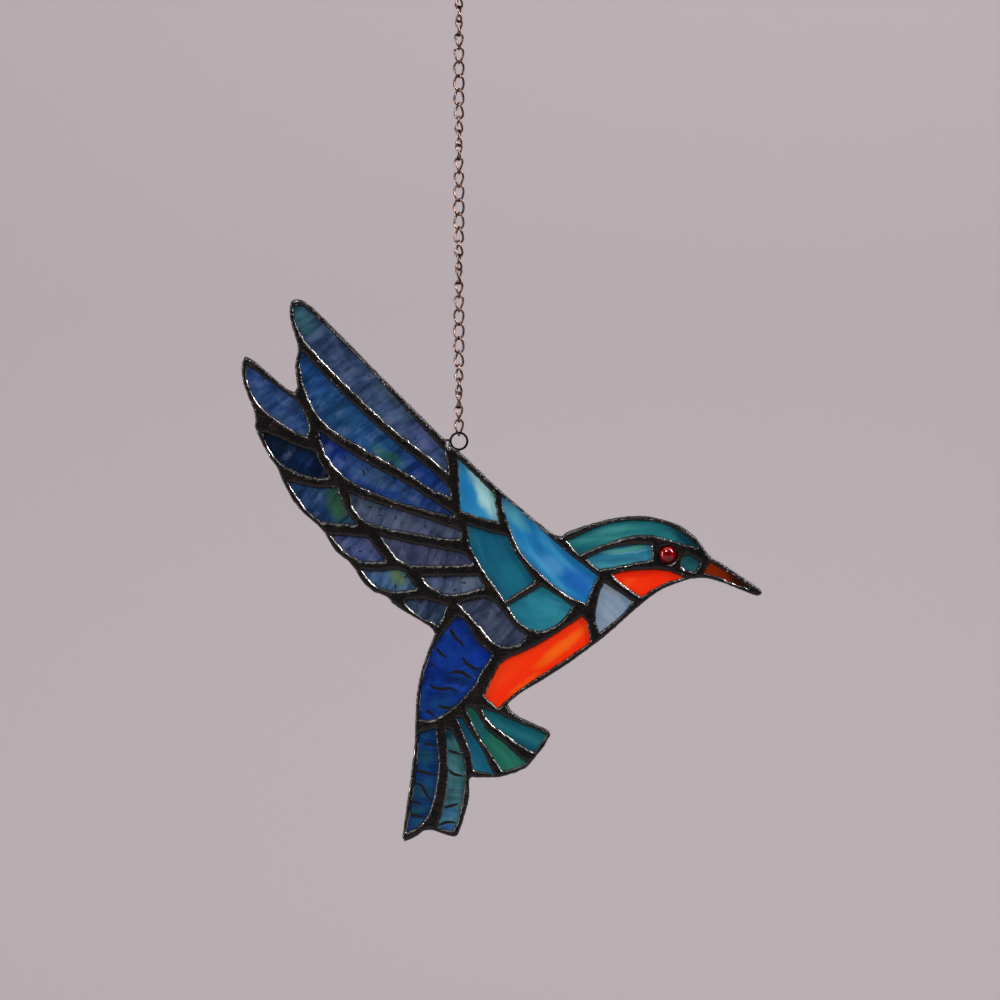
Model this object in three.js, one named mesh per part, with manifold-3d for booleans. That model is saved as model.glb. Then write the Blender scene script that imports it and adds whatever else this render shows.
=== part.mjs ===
// A flying bird in stained glass, made to hang in a window from a fine chain.
//
// Millimetres. +X runs to the bird's head, +Z is up and the front faces -Y. The origin is the
// point where the top hook bears on what holds it. The panel's own points are read from the
// centre of its hanging ring, as [x, z] pairs.
//
// Thirty panes and a cabochon eye are cut to shape, wrapped in foil and joined by solder, which
// is run over both faces, so each pane sits in a channel of one solder network.

import * as THREE from 'three';
import { mergeVertices } from 'three/addons/utils/BufferGeometryUtils.js';
import Module from 'manifold-3d';

const wasm = await Module();
wasm.setup();

// ---- Driving dimensions ----

const GLASS_THICKNESS = 3.0;
const RIM_UNDER_SOLDER = 0.7; // width of a pane's rim that the solder covers
const FIT_GAP = 0.2; // between a pane and the solder round it
const BEAD_THICKNESS = 5.4; // through the solder, front to back
const BEAD_SLOPE = 0.7; // how far a bead draws in from the glass to its top
const BORDER_EDGE = 3.2; // upright part of the panel's outer edge
const BORDER_SLOPE = 0.5; // how far the outer edge draws in to the faces

const EYE_CENTRE = [77.2, -42.0];
const EYE_RADIUS = 3.2; // as it shows inside the solder
const EYE_RIM = 0.4; // under the solder
const EYE_RISE = 2.6; // of the dome over the glass

const RING_RADIUS = 3.1; // to the middle of the wire
const RING_WIRE = 0.9;

const LINK_WIRE = 0.85;
const LINK_LENGTH = 5.79; // between the middles of the wire at its two ends
const LINK_WIDTH = 3.5; // between the middles of its two sides
const LINK_CONTACT = 0.16; // how far two links press into each other
const LINK_ROUNDNESS = 0.8; // 1 is an ellipse, less is squarer
const LINK_COUNT = 33;
const CHAIN_TWIST = 3.5 * Math.PI; // from the first link to the last

const HOOK_WIRE = 1.2;
const HOOK_BEND = 4.6; // radius of the open top bend, to the middle of the wire
const HOOK_EYE = 2.4; // radius of the closed lower eye
const HOOK_SPAN = 13; // between the two centres
const HOOK_BEND_TURN = [-35, 185]; // degrees round the bend, from its open end
const HOOK_EYE_TURN = [-10, -262];
const HOOK_STEPS = 28; // along the wire

const HANG_GAP = 0.16; // between wires that hang in each other
const MAX_TURN = THREE.MathUtils.degToRad(26); // of an outline at one facet

// ---- Outlines ----

// One outline: sides that each run from a corner, through their own points, to the next side's
// first point. A side of one point is straight.
function outline(sides) {
  return sides.flatMap((side, i) => {
    const end = sides[(i + 1) % sides.length][0];
    const points = [...side, end].map(([x, z]) => new THREE.Vector3(x, z, 0));
    if (points.length === 2) return [points[0]];
    const curve = new THREE.CatmullRomCurve3(points, false, 'centripetal');
    return side.flatMap((_, k) => facets(curve, k / side.length, (k + 1) / side.length));
  });
}

// The span of a curve from one parameter to another, split where it turns too far for one facet.
function facets(curve, from, to) {
  const turn = curve.getTangent(from + 1e-4).angleTo(curve.getTangent(to - 1e-4));
  const count = Math.max(1, Math.ceil(turn / MAX_TURN));
  return Array.from({ length: count }, (_, i) => curve.getPoint(from + ((to - from) * i) / count));
}

function arc([x, z], radius, from, to, count) {
  return Array.from({ length: count }, (_, i) => {
    const angle = THREE.MathUtils.degToRad(from + ((to - from) * i) / (count - 1));
    return new THREE.Vector3(x + radius * Math.cos(angle), z + radius * Math.sin(angle), 0);
  });
}

const SHARPEST = 0.45; // holds back the corners of a moved outline

// An outline moved outward by a distance.
function offset(points, distance) {
  const count = points.length;
  return points.map((point, i) => {
    const before = normal(points[(i + count - 1) % count], point);
    const after = normal(point, points[(i + 1) % count]);
    const mitre = before.clone().add(after).divideScalar(Math.max(1 + before.dot(after), SHARPEST));
    return point.clone().addScaledVector(mitre, distance);
  });
}

function normal(a, b) {
  return new THREE.Vector3(b.y - a.y, a.x - b.x, 0).normalize();
}

// ---- Solids ----

// A closed solid through outlines of equal count, each at its own depth, front one first.
function stack(levels) {
  const count = levels[0].points.length;
  const last = (levels.length - 1) * count;
  const index = [];
  for (let level = 0; level < last; level += count) {
    for (let i = 0; i < count; i += 1) {
      const a = level + i;
      const b = level + ((i + 1) % count);
      index.push(a, a + count, b, b, a + count, b + count);
    }
  }
  for (const [a, b, c] of THREE.ShapeUtils.triangulateShape(levels[0].points, [])) index.push(a, b, c);
  for (const [a, b, c] of THREE.ShapeUtils.triangulateShape(levels.at(-1).points, [])) {
    index.push(last + a, last + c, last + b);
  }
  const geometry = new THREE.BufferGeometry();
  const places = levels.flatMap(({ depth, points }) => points.flatMap((p) => [p.x, depth, p.y]));
  geometry.setAttribute('position', new THREE.Float32BufferAttribute(places, 3));
  geometry.setIndex(index);
  return geometry;
}

function solid(geometry) {
  const bare = geometry.clone();
  bare.deleteAttribute('normal');
  bare.deleteAttribute('uv');
  const merged = mergeVertices(bare, 1e-4);
  return new wasm.Manifold(new wasm.Mesh({
    numProp: 3,
    vertProperties: new Float32Array(merged.attributes.position.array),
    triVerts: new Uint32Array(merged.index.array),
  }));
}

function geometryOf(body) {
  const mesh = body.getMesh();
  const geometry = new THREE.BufferGeometry();
  geometry.setAttribute('position', new THREE.BufferAttribute(mesh.vertProperties, 3));
  geometry.setIndex(new THREE.BufferAttribute(mesh.triVerts, 1));
  return geometry;
}

// ---- Glass ----

const GLASS = {
  slate: [0x4a5a7e, 0.25],
  blue: [0x2a4a9a, 0.2],
  navy: [0x16284a, 0.2],
  grey_blue: [0x4a5268, 0.25],
  azure: [0x2a7cb8, 0.15],
  teal: [0x1f6f7c, 0.15],
  pale: [0x7f93ae, 0.25],
  orange: [0xf03814, 0.12],
  brown: [0x7a3008, 0.2],
  cobalt: [0x1a4a9c, 0.12],
  sea: [0x1d6a76, 0.15],
};

// What shows of each pane inside its solder line, with its glass.
const PANES = {
  wing_feather_1: ['slate', [
    [[-61.2, 49.5], [-58.8, 50.3], [-46, 39.2], [-33, 26.3], [-20.4, 12.4], [-5.2, -4]],
    [[-4, -11.5], [-12, -4.9], [-26, 6.1], [-57.5, 38.3], [-60.5, 45]],
  ]],
  wing_feather_2: ['blue', [
    [[-58, 32.9], [-44.7, 18.9], [-25, 0.7], [-8, -13.1], [-3.2, -19]],
    [[-3.6, -20.3], [-8, -18.6], [-20, -11.3], [-36, -2.2], [-48.8, 6], [-53, 11.2],
      [-56.5, 18.7], [-58.7, 30]],
  ]],
  wing_feather_3: ['blue', [
    [[-51.4, 3.2], [-40, -4.6], [-27.2, -11.9], [-21, -15.1]],
    [[-1.7, -27.4], [-8.7, -26.1], [-27.2, -20.5], [-41, -13.9], [-49, -5]],
  ]],
  wing_feather_4: ['slate', [
    [[-40, -19.2], [-33, -22.3], [-20, -26.3], [-0.5, -33], [0.7, -34.6], [-0.3, -35.9],
      [-17.1, -33.7], [-31.3, -30.8], [-36, -28.2], [-39, -24.1]],
  ]],
  wing_feather_5: ['slate', [
    [[-28.5, -35.2], [-22, -37], [-1, -41.1], [2.2, -42.1]],
    [[4.8, -45.2], [-1, -45.7], [-19, -45.3], [-22.7, -43.3]],
  ]],
  wing_feather_6: ['slate', [
    [[-13.3, -50.2]],
    [[7, -50]],
    [[8.9, -53.9], [-1.1, -56.3], [-5.3, -56.2], [-11.8, -52.6]],
  ]],
  wing_tip_1: ['blue', [
    [[-78.2, 28], [-62.5, 16.5], [-60, 14.6], [-57.2, 10.2], [-55.7, 5]],
    [[-56.3, 2], [-62.5, 4.7], [-74, 13.7], [-78.4, 24]],
  ]],
  wing_tip_2: ['navy', [
    [[-72.4, 3.2], [-66, 0.9], [-60, -2]],
    [[-53.2, -4.2], [-51.2, -8.7]],
    [[-48.2, -13.2], [-52.5, -13.5], [-63.3, -9.7], [-67, -7], [-70.3, -2.2]],
  ]],
  wing_tip_3: ['slate', [
    [[-63.2, -14.9], [-58, -16.4], [-52, -17.3]],
    [[-45.2, -17.3], [-43.2, -23]],
    [[-38.2, -30.8], [-51.3, -29.6], [-59.5, -20.8]],
  ]],
  wing_tip_4: ['slate', [
    [[-47.3, -34.8]],
    [[-34, -35.7]],
    [[-27.4, -44.2], [-32, -44.4], [-37, -43.7], [-42, -40.7]],
  ]],
  wing_tip_5: ['teal', [
    [[-35.8, -47.6], [-31, -48.2], [-25.3, -47.6], [-20.4, -48.4]],
    [[-15.9, -54.5], [-21, -55.1], [-27, -54.8], [-31.8, -52.6]],
  ]],
  wing_tip_6: ['navy', [
    [[-20, -59.6], [-18, -58.6], [-8, -59.7]],
    [[-4.8, -61.2], [-6.3, -65.3]],
    [[-7.8, -67.8], [-12, -66], [-16.9, -62.9]],
  ]],
  wing_covert: ['grey_blue', [
    [[0.2, -60.3], [5.2, -58.5], [10.4, -58.4], [13.5, -60.2], [21.4, -69.4], [24.5, -71.9],
      [22, -74.6], [17.1, -75.7], [12.5, -74.1], [8.9, -69.7]],
  ]],
  shoulder_1: ['azure', [
    [[0.1, -7]],
    [[12.7, -19.4]],
    [[14.4, -29.8], [7, -27.8]],
    [[0.8, -25.6], [0.2, -16.7]],
  ]],
  shoulder_2: ['teal', [
    [[3.3, -31.3], [10.8, -33.6]],
    [[17.5, -35], [20.4, -40.8]],
    [[27.8, -51.8]],
    [[17.1, -59], [7, -44], [4, -37.5]],
  ]],
  shoulder_3: ['teal', [
    [[30.5, -53.6], [37.3, -57.8]],
    [[42, -61.2], [39.2, -64.9], [35, -68.4], [30.2, -70], [25.5, -69], [21, -65.2]],
    [[18.2, -60.9]],
  ]],
  back: ['azure', [
    [[16, -20.6], [21.5, -24.9], [38.1, -39.5]],
    [[51.3, -50], [49, -54.7]],
    [[47, -59.9], [42.3, -58.1], [36.7, -54.5], [26, -44.6], [21.8, -38.8], [16.5, -24.5]],
  ]],
  neck: ['pale', [
    [[53.6, -52.4]],
    [[64.1, -59.3], [59.8, -64.5]],
    [[52.1, -70.6], [50.6, -66.3], [52, -56.3]],
  ]],
  belly: ['orange', [
    [[45.4, -64.8], [47.3, -66.8]],
    [[48.6, -74.2], [38.1, -81.4], [22.8, -91.5]],
    [[14.3, -98.6]],
    [[9.5, -94.1], [15.2, -82.9], [18, -80.4], [24.5, -77.6], [33.7, -72.6]],
  ]],
  throat: ['orange', [
    [[56.7, -49.3], [62, -48.1], [76, -47.9]],
    [[83.3, -50.3], [78, -51.7], [72, -54.5]],
    [[67.4, -57.6], [60.5, -52.9]],
  ]],
  crown: ['teal', [
    [[39.9, -36.8], [55.6, -30.5], [70, -29.5], [77, -31.2], [82.7, -34.2]],
    [[88, -39], [83.5, -38.1], [71, -34.8], [63.5, -35], [48.6, -40]],
    [[44.2, -41.8]],
  ]],
  cheek: ['teal', [
    [[47.2, -43.5], [52, -41.1], [58.2, -39.1], [65.5, -38.3]],
    [[71, -38.5]],
    [[71.4, -43.6]],
    [[51.8, -47.4]],
  ]],
  lore: ['sea', [
    [[84.6, -41.9]],
    [[89.1, -45]],
    [[87, -48.2], [83.4, -47.3], [82.3, -46], [83.3, -42.7]],
  ]],
  beak: ['brown', [
    [[92.8, -44.9], [102.8, -51]],
    [[107, -54.3], [101.5, -52.6], [96.1, -50.2]],
    [[90.6, -48.8]],
  ]],
  rump: ['cobalt', [
    [[-0.4, -64.7], [2.4, -67], [6.5, -74]],
    [[12.2, -79.1], [8.3, -84.9], [4.6, -91.2], [-4.9, -100.2], [-10.5, -102.8]],
    [[-14.2, -103], [-14, -95], [-12.6, -85.8], [-10, -78.1], [-6, -71.6]],
  ]],
  tail_feather_1: ['cobalt', [
    [[-14.4, -107.8]],
    [[-9, -106.5], [-7.8, -122], [-11.7, -138.3], [-15.5, -142.4]],
    [[-19.3, -144.4], [-15.9, -125]],
  ]],
  tail_feather_2: ['sea', [
    [[-4.8, -106], [-3, -106.8], [1.5, -117.8], [2.1, -124.5], [-0.5, -140.4]],
    [[-2.3, -144]],
    [[-7.8, -142.6], [-5.8, -136.3], [-4.3, -128.9], [-4, -118]],
  ]],
  tail_fan_1: ['sea', [
    [[-0.6, -102.2]],
    [[1, -102.3], [4.9, -109.1], [7, -111.5]],
    [[12.7, -122.9]],
    [[5.5, -121.6], [4, -113.8]],
  ]],
  tail_fan_2: ['sea', [
    [[3, -99.2], [4.6, -98], [10, -106.5], [15.5, -111]],
    [[24.8, -118.9], [20, -121]],
    [[16, -121.8], [11, -113.8], [6.7, -107.4]],
  ]],
  tail_fan_3: ['sea', [
    [[8.4, -98.6], [14.9, -101.1], [21.3, -104], [27.2, -106.1]],
    [[32.3, -108.6]],
    [[27.8, -115.2], [22.8, -112.1], [11.1, -103.3]],
  ]],
};

function pane(shown) {
  const edge = offset(shown, RIM_UNDER_SOLDER);
  return stack([
    { depth: -GLASS_THICKNESS / 2, points: edge },
    { depth: GLASS_THICKNESS / 2, points: edge },
  ]);
}

// The space in the solder for one pane: its channel, and an opening on each face whose sides
// slope back to the top of the bead.
function seat(shown, rim, slope) {
  const channel = offset(shown, rim + FIT_GAP);
  const face = GLASS_THICKNESS / 2 + FIT_GAP;
  const proud = 0.1; // past the bead's top, so that the cut comes out clean
  const top = BEAD_THICKNESS / 2 + proud;
  const mouth = offset(shown, slope + (slope * proud) / (BEAD_THICKNESS / 2 - face));
  return stack([
    { depth: -top, points: mouth },
    { depth: -face, points: shown },
    { depth: -face, points: channel },
    { depth: face, points: channel },
    { depth: face, points: shown },
    { depth: top, points: mouth },
  ]);
}

const eyeShown = arc(EYE_CENTRE, EYE_RADIUS, 0, 330, 12);

// A round cabochon: flat behind, domed in front, with a rim that the solder holds.
function eye() {
  const back = GLASS_THICKNESS / 2;
  const rim = EYE_RADIUS + EYE_RIM;
  const foot = EYE_RADIUS - FIT_GAP; // of the dome
  const dome = [0.95, 0.7, 0.35].map((share) => new THREE.Vector2(
    foot * share,
    -back - EYE_RISE * Math.sqrt(1 - share * share),
  ));
  const profile = [
    new THREE.Vector2(0, -back - EYE_RISE),
    ...dome.reverse(),
    new THREE.Vector2(foot, -back),
    new THREE.Vector2(rim, -back),
    new THREE.Vector2(rim, back),
    new THREE.Vector2(0, back),
  ];
  return new THREE.LatheGeometry(profile, 12).translate(EYE_CENTRE[0], 0, EYE_CENTRE[1]);
}

// ---- Solder ----

// The panel's edge, anticlockwise from the left of the ring. The last stretch is the lug, which
// follows the ring's wire back to the start.
const BORDER = [
  [[-3.6, 0.9], [-5.3, 0.9], [-20, 15.5], [-54.9, 50.3], [-59.4, 52.6], [-61.9, 51.9],
    [-62.8, 47.4], [-62, 42.9], [-59.7, 34.2], [-60.7, 28.3], [-60.2, 22.2], [-59.9, 20]],
  [[-60.8, 18.4], [-62.5, 18.9], [-77.5, 31]],
  [[-79.3, 31.4], [-80.4, 28.3], [-80.1, 22.8], [-78.5, 17.3], [-76.2, 12], [-75.4, 8],
    [-75.6, 5.6], [-70, -6.3], [-67.3, -9.8], [-65.9, -13.5], [-60, -24.1], [-50.4, -33.3],
    [-46, -40.4], [-40.4, -45.2], [-35.7, -52], [-32.4, -55.3], [-26.4, -58], [-24.9, -60],
    [-13.3, -67.3], [-10.6, -69], [-9.2, -71.5], [-12.2, -79.2], [-14.6, -87], [-15.9, -95.5],
    [-16.7, -112.8], [-20.2, -139.8], [-21.1, -146.3]],
  [[-20.2, -148.2], [-16.4, -146.7], [-12.9, -144.4], [-10.8, -143.9], [-2.3, -146.4],
    [-0.4, -145.8], [0.5, -143.6], [3.9, -132], [4, -125.6], [4.9, -124.5], [14.5, -124.4],
    [20, -123], [25.2, -120.6], [29.3, -115.9], [33.9, -108.9], [33.2, -107], [22, -101.5],
    [18.2, -97.6], [19.6, -96], [23.1, -93.2], [30.8, -88.6], [40.2, -82.6], [48.3, -76.7],
    [54, -72.4], [72.3, -56.8], [80, -53], [90.4, -50.8], [110, -57.3], [112, -56.6],
    [111.6, -54.9], [97.4, -45.2], [93, -42.4], [88.1, -36], [82.9, -31.7], [76, -29],
    [68.3, -27.5], [60, -27.9], [51.4, -29.7], [39.8, -33.6], [38.3, -34.7], [35.3, -34.3],
    [16.2, -18.7]],
];
const LUG_FOOT = [0.6, -4];
const LUG_TURN = [285, 165]; // degrees round the ring
const LUG_GAP = [[-4.8, -0.1], [-4.4, -1.8], [-3.9, -2.5], [-3.7, -0.1]]; // daylight beside the ring

function border() {
  const lug = arc([0, 0], RING_RADIUS, ...LUG_TURN, 7);
  return [...outline([...BORDER, [LUG_FOOT]]), ...lug];
}

function ring(wire) {
  return new THREE.TorusGeometry(RING_RADIUS, wire / 2, 6, 16).rotateX(Math.PI / 2);
}

function solder(shownPanes) {
  const edge = border();
  const drawnIn = offset(edge, -BORDER_SLOPE);
  let network = solid(stack([
    { depth: -BEAD_THICKNESS / 2, points: drawnIn },
    { depth: -BORDER_EDGE / 2, points: edge },
    { depth: BORDER_EDGE / 2, points: edge },
    { depth: BEAD_THICKNESS / 2, points: drawnIn },
  ]));
  for (const shown of shownPanes) {
    network = network.subtract(solid(seat(shown, RIM_UNDER_SOLDER, BEAD_SLOPE)));
  }
  network = network.subtract(solid(seat(eyeShown, EYE_RIM, BORDER_SLOPE)));
  const daylight = LUG_GAP.map(([x, z]) => new THREE.Vector3(x, z, 0));
  network = network.subtract(solid(stack([
    { depth: -BEAD_THICKNESS, points: daylight },
    { depth: BEAD_THICKNESS, points: daylight },
  ])));
  return geometryOf(network.subtract(solid(ring(RING_WIRE + FIT_GAP))));
}

// ---- Chain ----

// One curb link about its own centre: a rounded loop whose plane turns a quarter way round
// from its lower end to its upper one.
class CurbLink extends THREE.Curve {
  constructor(heading) {
    super();
    this.heading = heading;
  }

  getPoint(t) {
    const angle = 2 * Math.PI * t;
    const square = (value) => Math.sign(value) * Math.abs(value) ** LINK_ROUNDNESS;
    const across = (LINK_WIDTH / 2) * square(Math.sin(angle));
    const up = (-LINK_LENGTH / 2) * square(Math.cos(angle));
    const plane = this.heading - (Math.PI / 4) * (up / (LINK_LENGTH / 2));
    return new THREE.Vector3(across * Math.cos(plane), across * Math.sin(plane), up);
  }
}

const LINK_PITCH = LINK_LENGTH - LINK_WIRE + LINK_CONTACT;
const LINK_STEPS = 8; // round the loop
const LINK_SIDES = 4; // round the wire, whose corners stand a little proud of it
const LINK_CORNER = LINK_WIRE * 0.56; // from the middle of the wire

function chain(bottom) {
  let joined;
  for (let i = 0; i < LINK_COUNT; i += 1) {
    const heading = Math.PI / 4 + (CHAIN_TWIST * i) / (LINK_COUNT - 1);
    const link = new THREE.TubeGeometry(
      new CurbLink(heading), LINK_STEPS, LINK_CORNER, LINK_SIDES, true,
    );
    link.translate(0, 0, bottom + LINK_LENGTH / 2 + i * LINK_PITCH);
    joined = joined ? joined.add(solid(link)) : solid(link);
  }
  return geometryOf(joined);
}

// ---- Hook ----

const BEND_CENTRE = HOOK_WIRE / 2 - HOOK_BEND;

// An S of wire: an open bend over the origin, and an eye under it closed round the last link.
function hook() {
  const bend = arc([0, BEND_CENTRE], HOOK_BEND, ...HOOK_BEND_TURN, 12);
  const loop = arc([0, BEND_CENTRE - HOOK_SPAN], HOOK_EYE, ...HOOK_EYE_TURN, 12);
  const places = [...bend, ...loop].map((p) => new THREE.Vector3(p.x, 0, p.y));
  const path = new THREE.CatmullRomCurve3(places, false, 'centripetal');
  const section = new THREE.Shape(arc([0, 0], HOOK_WIRE / 2, 0, 300, 6));
  const sweep = { extrudePath: path, steps: HOOK_STEPS, bevelEnabled: false };
  return new THREE.ExtrudeGeometry(section, sweep);
}

// ---- The suncatcher ----

const eyeBottom = BEND_CENTRE - HOOK_SPAN - HOOK_EYE;
const chainTop = eyeBottom + HOOK_WIRE / 2 + LINK_WIRE / 2 + HANG_GAP;
const chainBottom = chainTop - LINK_LENGTH - (LINK_COUNT - 1) * LINK_PITCH;
const ringTop = chainBottom + LINK_WIRE / 2 + RING_WIRE / 2 + HANG_GAP;

function part(name, geometry, color, roughness, metalness) {
  const material = new THREE.MeshStandardMaterial({ color, roughness, metalness });
  const mesh = new THREE.Mesh(geometry, material);
  mesh.name = name;
  return mesh;
}

const panel = new THREE.Group();
panel.position.z = ringTop - RING_RADIUS;
const shownPanes = [];
for (const [name, [glass, sides]] of Object.entries(PANES)) {
  const shown = outline(sides).reverse();
  const [color, roughness] = GLASS[glass];
  shownPanes.push(shown);
  panel.add(part(name, pane(shown), color, roughness, 0));
}
panel.add(part('eye', eye(), 0x8c0005, 0.08, 0));
panel.add(part('solder_lines', solder(shownPanes), 0x14100e, 0.35, 0.9));
panel.add(part('hanging_ring', ring(RING_WIRE), 0x17110f, 0.4, 0.9));

const suncatcher = new THREE.Group();
suncatcher.add(panel);
suncatcher.add(part('chain', chain(chainBottom), 0x3a2a28, 0.35, 0.9));
suncatcher.add(part('hook', hook(), 0x3a2a28, 0.35, 0.9));

export default suncatcher;
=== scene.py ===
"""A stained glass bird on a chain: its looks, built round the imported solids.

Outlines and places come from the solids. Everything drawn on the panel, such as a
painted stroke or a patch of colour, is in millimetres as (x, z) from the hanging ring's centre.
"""

import math

import bpy
import bmesh
import numpy as np
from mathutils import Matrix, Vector, geometry, kdtree, noise


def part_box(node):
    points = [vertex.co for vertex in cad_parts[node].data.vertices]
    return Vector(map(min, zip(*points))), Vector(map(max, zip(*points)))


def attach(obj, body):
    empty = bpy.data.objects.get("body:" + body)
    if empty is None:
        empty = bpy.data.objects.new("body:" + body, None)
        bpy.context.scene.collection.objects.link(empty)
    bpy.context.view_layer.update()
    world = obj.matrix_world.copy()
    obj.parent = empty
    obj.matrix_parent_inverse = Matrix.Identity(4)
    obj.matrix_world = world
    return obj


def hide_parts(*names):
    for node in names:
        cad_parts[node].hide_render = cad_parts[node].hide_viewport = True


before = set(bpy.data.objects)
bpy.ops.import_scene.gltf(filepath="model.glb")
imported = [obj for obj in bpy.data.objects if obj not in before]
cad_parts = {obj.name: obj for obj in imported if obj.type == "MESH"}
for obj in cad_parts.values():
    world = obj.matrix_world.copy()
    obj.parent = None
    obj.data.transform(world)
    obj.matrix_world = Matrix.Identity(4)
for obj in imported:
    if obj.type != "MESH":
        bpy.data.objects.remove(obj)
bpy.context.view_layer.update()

# ---- Sizes, in millimetres ----

GLASS_FACE = 1.5  # from the panel's middle to either face of the glass
BEAD_TOP = 2.66  # from the middle to the top of a solder bead
BEAD_FOOT = 1.42  # a bead's edge lies just under the glass's face
BEAD_ROUND = 1.25  # a bead reaches its full height this far from its edge
RIM_STEP = 0.95  # from the panel's edge to the crease between foil and bead
CUT_DEPTH = 1.72  # where the solids are cut to read the openings in the solder
SMOOTH_STEP = 0.42  # between points along a smoothed outline
CORNER = math.radians(33)  # a sharper turn than this stays a corner
GRID_STEP = 0.55  # between points inside the solder
PANE_STEP = 0.8
RING_WIRE = 0.9
LINK_WIRE = 0.85
LINK_LENGTH = 5.79
LINK_WIDTH = 3.5
LINK_COUNT = 33
CHAIN_TWIST = 3.5 * math.pi
HOOK_WIRE = 1.2

ring_low, ring_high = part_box("hanging_ring")
RING_Z = (ring_low.z + ring_high.z) / 2


def place(x, y, z):
    """A point of the panel, in metres."""
    return (x * 0.001, y * 0.001, RING_Z + z * 0.001)


# ---- Reading outlines from the solids ----


def section(node, depth):
    """The closed loops in which a plane at one depth cuts a solid."""
    body = bmesh.new()
    body.from_mesh(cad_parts[node].data)
    bmesh.ops.remove_doubles(body, verts=body.verts, dist=1e-6)
    everything = [*body.verts, *body.edges, *body.faces]
    bmesh.ops.bisect_plane(
        body, geom=everything, plane_co=(0, depth * 0.001, 0), plane_no=(0, 1, 0),
        clear_inner=True, clear_outer=True,
    )
    bmesh.ops.remove_doubles(body, verts=body.verts, dist=2e-5)
    loops = []
    left = set(body.verts)
    while left:
        start = left.pop()
        loop, before, here = [start], None, start
        while True:
            ahead = [e.other_vert(here) for e in here.link_edges]
            ahead = [v for v in ahead if v is not before and v in left]
            if not ahead:
                break
            before, here = here, ahead[0]
            left.discard(here)
            loop.append(here)
        if len(loop) > 2:
            loops.append(tidy([(v.co.x * 1000, (v.co.z - RING_Z) * 1000) for v in loop]))
    body.free()
    return loops


def tidy(points):
    """A loop as an array, anticlockwise, without the points that lie on a straight stretch."""
    kept = [np.array(p) for p in points]
    i = 0
    while i < len(kept) and len(kept) > 3:
        a, b, c = kept[i - 1], kept[i], kept[(i + 1) % len(kept)]
        span = c - a
        away = abs(span[0] * (b[1] - a[1]) - span[1] * (b[0] - a[0])) / max(np.hypot(*span), 1e-9)
        if away < 0.015 or np.hypot(*(b - a)) < 0.04:
            kept.pop(i)
        else:
            i += 1
    loop = np.array(kept)
    return loop if area(loop) > 0 else loop[::-1]


def area(loop):
    x, z = loop[:, 0], loop[:, 1]
    return 0.5 * float(np.sum(x * np.roll(z, -1) - np.roll(x, -1) * z))


def smooth(loop, step=SMOOTH_STEP):
    """A loop redrawn as curves that run between its corners."""
    before = loop - np.roll(loop, 1, axis=0)
    after = np.roll(before, -1, axis=0)
    turn = np.arctan2(
        before[:, 0] * after[:, 1] - before[:, 1] * after[:, 0], np.sum(before * after, axis=1)
    )
    corners = [i for i in range(len(loop)) if abs(turn[i]) > CORNER]
    if not corners:
        return curve_points(list(loop) + [loop[0]], step, closed=True)
    points = []
    for n, start in enumerate(corners):
        end = corners[(n + 1) % len(corners)]
        count = (end - start) % len(loop) or len(loop)
        side = [loop[(start + k) % len(loop)] for k in range(count + 1)]
        points.extend(curve_points(side, step))
    return np.array(points)


def curve_points(side, step, closed=False):
    """Even points along a centripetal Catmull-Rom curve, without its last one."""
    if closed:
        line = [side[-2], *side, side[1]]
    else:
        line = [2 * side[0] - side[1], *side, 2 * side[-1] - side[-2]]
    fine = []
    for p0, p1, p2, p3 in zip(line, line[1:], line[2:], line[3:]):
        d0, d1, d2 = (max(np.linalg.norm(b - a), 1e-6) ** 0.5 for a, b in ((p0, p1), (p1, p2), (p2, p3)))
        m1 = ((p1 - p0) / d0 - (p2 - p0) / (d0 + d1) + (p2 - p1) / d1) * d1
        m2 = ((p2 - p1) / d1 - (p3 - p1) / (d1 + d2) + (p3 - p2) / d2) * d1
        for s in np.linspace(0, 1, 12, endpoint=False):
            fine.append(
                (2 * s**3 - 3 * s**2 + 1) * p1 + (s**3 - 2 * s**2 + s) * m1
                + (-2 * s**3 + 3 * s**2) * p2 + (s**3 - s**2) * m2
            )
    fine.append(line[-2])
    fine = np.array(fine)
    along = np.concatenate([[0], np.cumsum(np.linalg.norm(np.diff(fine, axis=0), axis=1))])
    count = max(1, round(along[-1] / step))
    wanted = np.linspace(0, along[-1], count + 1)[:-1]
    return np.stack([np.interp(wanted, along, fine[:, k]) for k in range(fine.shape[1])], axis=1)


# ---- Filling outlines with triangles ----


def inside(points, loops):
    """Which points lie inside an odd number of loops."""
    result = np.zeros(len(points), bool)
    x, z = points[:, 0], points[:, 1]
    for loop in loops:
        for a, b in zip(loop, np.roll(loop, -1, axis=0)):
            if a[1] == b[1]:
                continue
            crosses = (a[1] > z) != (b[1] > z)
            result ^= crosses & (x < a[0] + (z - a[1]) * (b[0] - a[0]) / (b[1] - a[1]))
    return result


def grid(loops, step):
    """The points of a triangular grid that lie inside an odd number of loops."""
    starts = np.concatenate(loops)
    ends = np.concatenate([np.roll(loop, -1, axis=0) for loop in loops])
    low, high = starts.min(axis=0), starts.max(axis=0)
    points = []
    for n, z in enumerate(np.arange(low[1], high[1], step * 0.866)):
        cut = (starts[:, 1] > z) != (ends[:, 1] > z)
        a, b = starts[cut], ends[cut]
        crossings = np.sort(a[:, 0] + (z - a[:, 1]) * (b[:, 0] - a[:, 0]) / (b[:, 1] - a[:, 1]))
        row = np.arange(low[0] + step / 2 * (n % 2), high[0], step)
        row = row[np.searchsorted(crossings, row) % 2 == 1]
        points.extend((x, z) for x in row)
    return np.array(points)


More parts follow.
